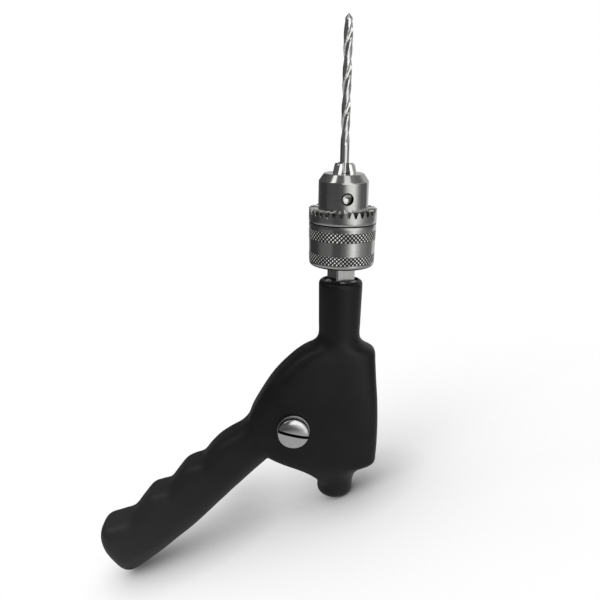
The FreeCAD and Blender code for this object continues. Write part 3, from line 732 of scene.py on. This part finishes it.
def bit_shape(row, column, radius, height):
    """Where a point of the round blank lies once the flutes, the margins and the point are ground."""
    if height < bit_foot:
        return radius, height
    angle = 360 * column / bit_columns - 360 * (height - flute_start) / flute_pitch
    off_flute = abs((angle - flute_middle + 90) % 180 - 90)
    if off_flute < hollow_half:
        aside = hollow_centre * math.sin(math.radians(off_flute))
        ground = min(radius, hollow_centre * math.cos(math.radians(off_flute))
                     - math.sqrt(hollow_radius ** 2 - aside ** 2))
    elif off_flute < flute_half:
        beyond = max(0.0, off_flute - shoulder_angle) / (flute_half - shoulder_angle)
        ground = min(radius, shoulder_radius + (bit_radius - shoulder_radius) * beyond)
    else:
        ground = radius if angle % 180 < margin_angle else radius - margin_height
    fade = max(0.0, min(1.0, (height - bit_foot) / run_out))
    radius -= (radius - ground) * fade * fade * (3 - 2 * fade)
    return min(radius, (bit_reach - height) * bit_radius / point_height), height


bit = turned("twist_drill", [(0, bit_tail)] + bit_rows + [(0, bit_reach)], bit_columns, False, bit_shape)
smooth(bit, 40)
bit_steel = turned_steel("bit_steel", (0.74, 0.74, 0.735), 0.14, 0.00012 * mm)[0]
placed(bit, bit_steel, "bit_steel", "bit", "drill_bit")


# Axle, drive gear and cover. The cross axle carries the keyed gear inside; a round steel cover
# with two spanner holes closes the chamber on the crank side.
case_half = 12.0
cover_edge = cover_radius - 0.02
cover_bore = 6.0
cover_boss_radius, cover_boss_top = 8.0, 13.5
spanner_hole_place = 13.0
axle_place = (axle_x * mm, 0, axle_height * mm)
axle_steel = turned_steel("axle_steel", (0.60, 0.60, 0.595), 0.24, 0.003 * mm, axle_place)[0]
finished(axle_steel, "crank_axle", "drive_gear", "gear_key")
axle_bronze = turned_steel("axle_bronze", bronze_colour, 0.35, 0.004 * mm, axle_place)[0]
finished(axle_bronze, "near_bush", "far_bush")
cover = turned("cover_plate", rounded([
    (cover_bore, cover_seat), (cover_edge, cover_seat), (cover_edge, case_half, 0.6), (15.2, case_half, 0.2),
    (15.0, case_half - 0.35, 0.15), (9.6, case_half - 0.35, 0.3), (9.0, case_half, 0.2),
    (8.2, case_half, 0.3), (cover_boss_radius, cover_boss_top, 0.5), (cover_bore, cover_boss_top)]), 160, True)
for side in (0, 180):
    spanner_hole = turned("spanner_hole", rounded([
        (0, 9.5), (1.25, 9.5), (1.25, 11.5, 0.2), (1.6, 11.75), (1.6, 20), (0, 20)]), 48)
    spanner_hole.data.transform(Matrix.Rotation(math.radians(side), 4, "Z")
                                @ Matrix.Translation((spanner_hole_place * mm, 0, 0)))
    cut(cover, spanner_hole)
smooth(cover)
cover_steel = turned_steel("cover_steel", (0.52, 0.52, 0.515), 0.3, 0.006 * mm, axle_place)[0]
placed(on_axle(cover), cover_steel, "cover_steel", "body", "gear_cover")


# Axle screw and washer. A chromed screw with a ribbed edge, a low dome and a coin slot holds the
# near end of the axle; it sits on a thin bright washer.
screw_seat = -13.5
screw_radius = 7.0
screw_rim = 3.2
screw_dome = 1.57
screw_shank_radius = 2.5
rib_count = 60
rib_columns = 6
rib_depth = 0.16
slot_half = 0.68
slot_depth = 1.7
slot_turn = math.radians(12.0)
washer_radius = 7.3
screw_rows = [(0, screw_seat), (screw_radius - 0.35, screw_seat), (screw_radius - 0.12, screw_seat - 0.12)]
screw_rows += [(screw_radius, screw_seat - 0.3 - (screw_rim - 0.75) * step / 4) for step in range(5)]
screw_rows += [(screw_radius * math.cos(t), screw_seat - screw_rim - screw_dome * math.sin(t))
               for t in (math.radians(90 * step / 28) for step in range(2, 28))]
crown_height = screw_seat - screw_rim - screw_dome
screw_rows.append((0, crown_height))


def screw_shape(row, column, radius, height):
    """Ribs pressed round the edge of the screw's head."""
    if 3 <= row <= 7:
        radius -= rib_depth * (0.5 - 0.5 * math.cos(2 * math.pi * column / rib_columns))
    return radius, height


screw = turned("domed_screw", screw_rows, rib_count * rib_columns, False, screw_shape)
slot = prism("slot", ((-9, -slot_half), (9, -slot_half), (9, slot_half), (-9, slot_half)), crown_height - 3,
             crown_height + slot_depth)
slot.data.transform(Matrix.Rotation(slot_turn, 4, "Z"))
cut(screw, slot)
cut(screw, turned("screw_shank", [(0, screw_seat - 1), (screw_shank_radius, screw_seat - 1),
                                  (screw_shank_radius, screw_seat + 9), (0, screw_seat + 9)], 64), "UNION")
smooth(screw, 35)
screw_chrome = turned_steel("screw_chrome", (0.4, 0.4, 0.4), 0.28, 0.0005 * mm, axle_place)[0]
slotted_chrome, tree, shader = turned_steel("slotted_chrome", (0.62, 0.62, 0.62), 0.13, 0.0003 * mm,
                                            axle_place)[:3]
# Painted shade: the slot across the screw's dome is tinted near-black, where shade falls in it.
from_axle = reckoned(tree, "SUBTRACT", tree.nodes.new("ShaderNodeTexCoord").outputs["Object"], axle_place,
                     kind="ShaderNodeVectorMath", out="Vector")
aside = reckoned(tree, "DOT_PRODUCT", from_axle, (math.sin(slot_turn), 0, math.cos(slot_turn)),
                 kind="ShaderNodeVectorMath", out="Value")
painted_slot_shade = between(tree, reckoned(tree, "ABSOLUTE", aside), (slot_half + 0.03) * mm,
                  (slot_half + 0.005) * mm, 0, 1)
tint(tree, shader, painted_slot_shade, (0.012, 0.012, 0.012))
placed(on_axle(screw), slotted_chrome, "screw_chrome", "crank", "axle_screw")
washer = turned("thin_washer", rounded([
    (2.6, screw_seat + 0.02), (washer_radius, screw_seat + 0.02, 0.2), (washer_radius, screw_seat + 1.2, 0.2),
    (2.6, screw_seat + 1.2)]), 128, True)
smooth(washer)
placed(on_axle(washer), screw_chrome, "screw_chrome", "crank", "axle_washer")


# Crank. A forged steel arm, polished and plated, square-bored on the axle and held by a washer and
# a cheese-head screw; the knob's pin is riveted into its tip.
crank_seat = 13.8
crank_thickness = 4
crank_throw = 56.0
crank_angle = math.radians(131.8)
boss_radius, boss_top = 8.0, 20.2
square_half = 3.02
pin_hole_radius = 2.02
ring_low, ring_high, ring_outside = 20.22, 21.22, 5.6
head_low, head_high, head_radius = 21.24, 23.84, 4.6
head_slot_half, head_slot_depth = 0.45, 1.2
crank_shank_radius, crank_shank_end = 1.5, 14.24


def arc(centre, radius, first, last, steps):
    """Points on an arc, from its first to its last angle in degrees."""
    return [(centre + radius * math.cos(math.radians(first + (last - first) * i / steps)),
             radius * math.sin(math.radians(first + (last - first) * i / steps))) for i in range(steps + 1)]


arm = prism("forged_arm", arc(0, 5.5, 90, 270, 24) + arc(crank_throw, 4.5, -90, 90, 24), crank_seat,
            crank_seat + crank_thickness)
bevelled(arm, 0.6, 3)
cut(arm, turned("boss", rounded([(0, crank_seat), (boss_radius, crank_seat, 0.5), (boss_radius, boss_top, 0.8),
                                 (0, boss_top)]), 128), "UNION")
cut(arm, prism("square", ((-square_half, -square_half), (square_half, -square_half), (square_half, square_half),
                          (-square_half, square_half)), 0, 30))
pin_hole = turned("pin_hole", [(0, 0), (pin_hole_radius, 0), (pin_hole_radius, 30), (0, 30)], 48)
pin_hole.data.transform(Matrix.Translation((crank_throw * mm, 0, 0)))
cut(arm, pin_hole)
arm.data.transform(Matrix.Rotation(crank_angle, 4, "Z"))
smooth(arm, 30)
crank_steel = turned_steel("crank_steel", (0.68, 0.68, 0.675), 0.17, 0.001 * mm, axle_place)[0]
placed(on_axle(arm), crank_steel, "crank_steel", "crank", "crank_arm")

crank_ring = turned("crank_ring", rounded([(1.6, ring_low), (ring_outside, ring_low, 0.15),
                                           (ring_outside, ring_high, 0.25), (1.6, ring_high, 0.1)]), 96, True)
smooth(crank_ring)
placed(on_axle(crank_ring), screw_chrome, "screw_chrome", "crank", "crank_washer")
cheese_screw = turned("cheese_screw", rounded([
    (0, head_low), (head_radius, head_low, 0.15), (head_radius, head_high, 0.6), (0, head_high)]), 96)
cut(cheese_screw, prism("slot", ((-9, -head_slot_half), (9, -head_slot_half), (9, head_slot_half),
                                 (-9, head_slot_half)), head_high - head_slot_depth, 30))
cut(cheese_screw, turned("screw_shank", [(0, crank_shank_end), (crank_shank_radius, crank_shank_end),
                                         (crank_shank_radius, 22.0), (0, 22.0)], 48), "UNION")
smooth(cheese_screw)
placed(on_axle(cheese_screw), screw_chrome, "screw_chrome", "crank", "crank_screw")


# Knob. Turned from black hard plastic and polished, waisted towards the arm, free on a steel pin
# whose riveted head lies in a recess.
knob_start = 18.1
knob_end = 47.1
knob_bore = 2.05
knob_end_radius = 4.4
knob_radius = 5.8
recess_radius = 3.35
recess_floor = knob_end - 2.6
pin_radius, pin_head_radius = 2.0, 3.2
pin_head = recess_floor + 0.3
pin_end = pin_head + 1.6
# Rows along the knob: share of its length, share of its swell
swell = ((0.0, 0.0), (0.06, 0.10), (0.28, 0.55), (0.60, 1.0), (0.84, 0.85), (0.95, 0.45), (1.0, -0.1))
out_to_tip = Matrix.Rotation(crank_angle, 4, "Z") @ Matrix.Translation((crank_throw * mm, 0, 0))
swelling = [(knob_end_radius + (knob_radius - knob_end_radius) * max(-0.1, min(1.0, rise)),
             min(knob_end, knob_start + (knob_end - knob_start) * share)) for share, rise in eased(swell, 8)]
knob_outline = [(knob_bore, knob_start), (knob_end_radius - 0.3, knob_start)]
knob_outline += [(knob_end_radius, knob_start + 0.25)] + swelling[3:-1]
knob_outline += [(4.2, knob_end - 0.05), (3.6, knob_end), (recess_radius, knob_end - 0.25),
                 (recess_radius, recess_floor), (knob_bore, recess_floor)]
knob = turned("turned_knob", knob_outline, 96, True)
knob.data.transform(out_to_tip)
smooth(knob, 40)
black_knob, tree, shader, place = material("black_knob", (0.011, 0.011, 0.0115), 0.0, 0.2)
shader.inputs["Coat Weight"].default_value = 0.3
shader.inputs["Coat Roughness"].default_value = 0.08
tree.links.new(between(tree, noise(tree, place, 160.0), 0.3, 0.7, 0.16, 0.3), shader.inputs["Roughness"])
relief(tree, shader, noise(tree, place, 300.0, 2.0), 0.01 * mm)
placed(on_axle(knob), black_knob, "black_knob", "knob", "crank_knob")
pin = turned("riveted_pin", rounded([
    (0, crank_seat), (pin_radius, crank_seat, 0.3), (pin_radius, pin_head), (pin_head_radius, pin_head, 0.1),
    (pin_head_radius, pin_end, 0.9), (0, pin_end)], 6), 64)
pin.data.transform(out_to_tip)
smooth(pin)
placed(on_axle(pin), crank_steel, "crank_steel", "crank", "knob_pin")


# Studio. The drill stands on a white table that carries its grip end and its nub, under a large
# soft light, in a dark room with a window to the right that shows in the steel. The table is clear
# but for the drill's shade, so that it hides neither the turning crank nor a view from below.
table_slope = math.radians(24.0)
table_half = 0.6
table_drop = 1.3
light_side = Vector((-0.5, -0.1, 0.75)).normalized()
soft_shade = (150 * mm, 1.0)
contact_shade = (28 * mm, 0.45)
room_light = 0.55
wall_slant = math.radians(12.0)


def shader_between(tree, share, first, second):
    """A shader between two, by a share."""
    mix = tree.nodes.new("ShaderNodeMixShader")
    for source, socket in zip((share, first, second), mix.inputs):
        tree.links.new(source, socket)
    return mix.outputs[0]


table = bpy.data.meshes.new("table")
table.from_pydata([(-table_half, -table_half, 0), (table_half, -table_half, 0),
                   (table_half, table_half, 0), (-table_half, table_half, 0)], [], [(0, 1, 2, 3)])
floor = bpy.data.objects.new("table", table)
floor.matrix_world = (Matrix.Translation((0, 0, (nub_bottom - table_drop) * mm))
                      @ Matrix.Rotation(-table_slope, 4, "Y"))
bpy.context.scene.collection.objects.link(floor)
white_table, tree, shader, place = material("white_table", (0, 0, 0), 0.0, 1.0)
shader.inputs["Specular IOR Level"].default_value = 0
toward_light = tree.nodes.new("ShaderNodeCombineXYZ")
for part, socket in zip(light_side, toward_light.inputs):
    socket.default_value = part
shades = []
for reach, depth in (soft_shade, contact_shade):
    shade = tree.nodes.new("ShaderNodeAmbientOcclusion")
    shade.samples = 32
    shade.inputs["Distance"].default_value = reach
    tree.links.new(toward_light.outputs[0], shade.inputs["Normal"])
    shades.append(between(tree, shade.outputs["AO"], 0.96, 0.0, 1.0, 1.0 - depth))
underneath = tree.nodes.new("ShaderNodeNewGeometry").outputs["Backfacing"]
veil = masks_over(tree, between(tree, masks_over(tree, *shades), 1.0, 0.0, 0.0, 1.0),
                  between(tree, underneath, 0, 1, 1, 0))
clear = tree.nodes.new("ShaderNodeBsdfTransparent").outputs[0]
tree.links.new(shader_between(tree, veil, clear, shader.outputs[0]),
               tree.nodes["Material Output"].inputs["Surface"])
table.materials.append(white_table)
floor.visible_glossy = False
floor.visible_diffuse = False
floor.visible_shadow = False

world = bpy.data.worlds.new("studio")
bpy.context.scene.world = world
world.use_nodes = True
tree = world.node_tree
plain = tree.nodes["Background"]
plain.inputs["Color"].default_value = (1, 1, 1, 1)
plain.inputs["Strength"].default_value = room_light
white = tree.nodes.new("ShaderNodeBackground")
white.inputs["Color"].default_value = (1, 1, 1, 1)
parts = parts_of(tree, tree.nodes.new("ShaderNodeTexCoord").outputs["Generated"])
compass = reckoned(tree, "ARCTAN2", parts["X"], reckoned(tree, "MULTIPLY", parts["Y"], -1.0))
slanted = reckoned(tree, "ADD", compass, between(tree, parts["Z"], -0.26, 0.15, -wall_slant, wall_slant))


def round_room(heading, bands):
    """Brightness of the room by compass heading, from (degrees, brightness) pairs."""
    ramp = tree.nodes.new("ShaderNodeValToRGB")
    tree.links.new(between(tree, heading, -math.pi, math.pi, 0, 1), ramp.inputs["Fac"])
    while len(ramp.color_ramp.elements) < len(bands):
        ramp.color_ramp.elements.new(0.5)
    for element, (degrees, level) in zip(ramp.color_ramp.elements, bands):
        element.position = (degrees + 180) / 360
        element.color = (level, level, level, 1)
    return ramp.outputs["Color"]


walls = round_room(slanted, (
    (-180, 0.1), (-146, 0.1), (-136, 0.06), (-100, 0.05), (-78, 0.1), (-33, 0.105), (-15, 0.13),
    (-5, 0.22), (5, 0.6), (19, 1.15), (44, 1.15), (53, 0.8), (66, 0.35), (80, 0.17), (118, 0.14), (134, 0.7),
    (166, 0.7), (180, 0.1)))
wall_foot = round_room(compass, (
    (-180, 0.1), (-172, 0.3), (-154, 0.3), (-144, 0.05), (-100, 0.05), (-80, 0.15), (-42, 0.19), (-32, 0.09),
    (-12, 0.08), (8, 0.2), (20, 0.5), (31, 1.05), (40, 1.25), (50, 0.8), (68, 0.36), (95, 0.22), (118, 0.22),
    (134, 0.7), (166, 0.7), (180, 0.1)))
table_glow = round_room(compass, (
    (-180, 0.1), (-150, 0.12), (-110, 0.5), (110, 0.52), (150, 0.4), (180, 0.1)))
wall_top = round_room(compass, (
    (-180, 0.55), (-174, 0.5), (-166, 0.1), (-90, 0.1), (-14, 0.12), (-5, 1.5), (36, 1.5), (46, 0.55),
    (100, 0.3), (134, 0.6), (170, 0.5), (180, 0.55)))
ceiling = round_room(compass, (
    (-180, 0.1), (-140, 0.1), (-115, 0.14), (-92, 0.16), (-84, 0.4), (-79, 1.6), (-61, 1.6), (-55, 0.35),
    (-45, 0.18), (-12, 0.2), (-2, 0.4), (5, 1.2), (40, 1.2), (50, 0.35), (80, 0.22), (120, 0.22), (140, 0.5),
    (165, 0.4), (180, 0.1)))
painted = walls
for layer, low, high in ((wall_foot, -0.17, -0.19), (wall_top, 0.0, 0.06), (ceiling, 0.52, 0.6)):
    painted = mixed_colour(tree, between(tree, parts["Z"], low, high, 0, 1), painted, layer)
room = tree.nodes.new("ShaderNodeBackground")
tree.links.new(painted, room.inputs["Color"])
bright_table = tree.nodes.new("ShaderNodeBackground")
tree.links.new(table_glow, bright_table.inputs["Color"])
mirrored = shader_between(tree, between(tree, parts["Z"], -0.27, -0.4, 0, 1), room.outputs[0],
                          bright_table.outputs[0])
rays = tree.nodes.new("ShaderNodeLightPath").outputs
lit = shader_between(tree, rays["Is Glossy Ray"], plain.outputs[0], mirrored)
tree.links.new(shader_between(tree, rays["Is Camera Ray"], lit, white.outputs[0]),
               tree.nodes["World Output"].inputs["Surface"])


def softbox(name, place, aim, width, height, power):
    """A large soft lamp at a place, turned to its aim."""
    lamp = bpy.data.lights.new(name, "AREA")
    lamp.shape = "RECTANGLE"
    lamp.size = width
    lamp.size_y = height
    lamp.energy = power
    held = bpy.data.objects.new(name, lamp)
    facing = (Vector(aim) - Vector(place)).to_track_quat("-Z", "Y")
    held.matrix_world = Matrix.Translation(place) @ facing.to_matrix().to_4x4()
    held.visible_glossy = False
    bpy.context.scene.collection.objects.link(held)


softbox("overhead", (-0.25, -0.15, 0.75), (-0.02, 0, -0.08), 0.7, 0.7, 5.0)
softbox("front", (0.45, -0.55, 0.25), (0, 0, -0.05), 0.4, 0.5, 2.0)
bpy.context.scene.view_settings.view_transform = "Standard"
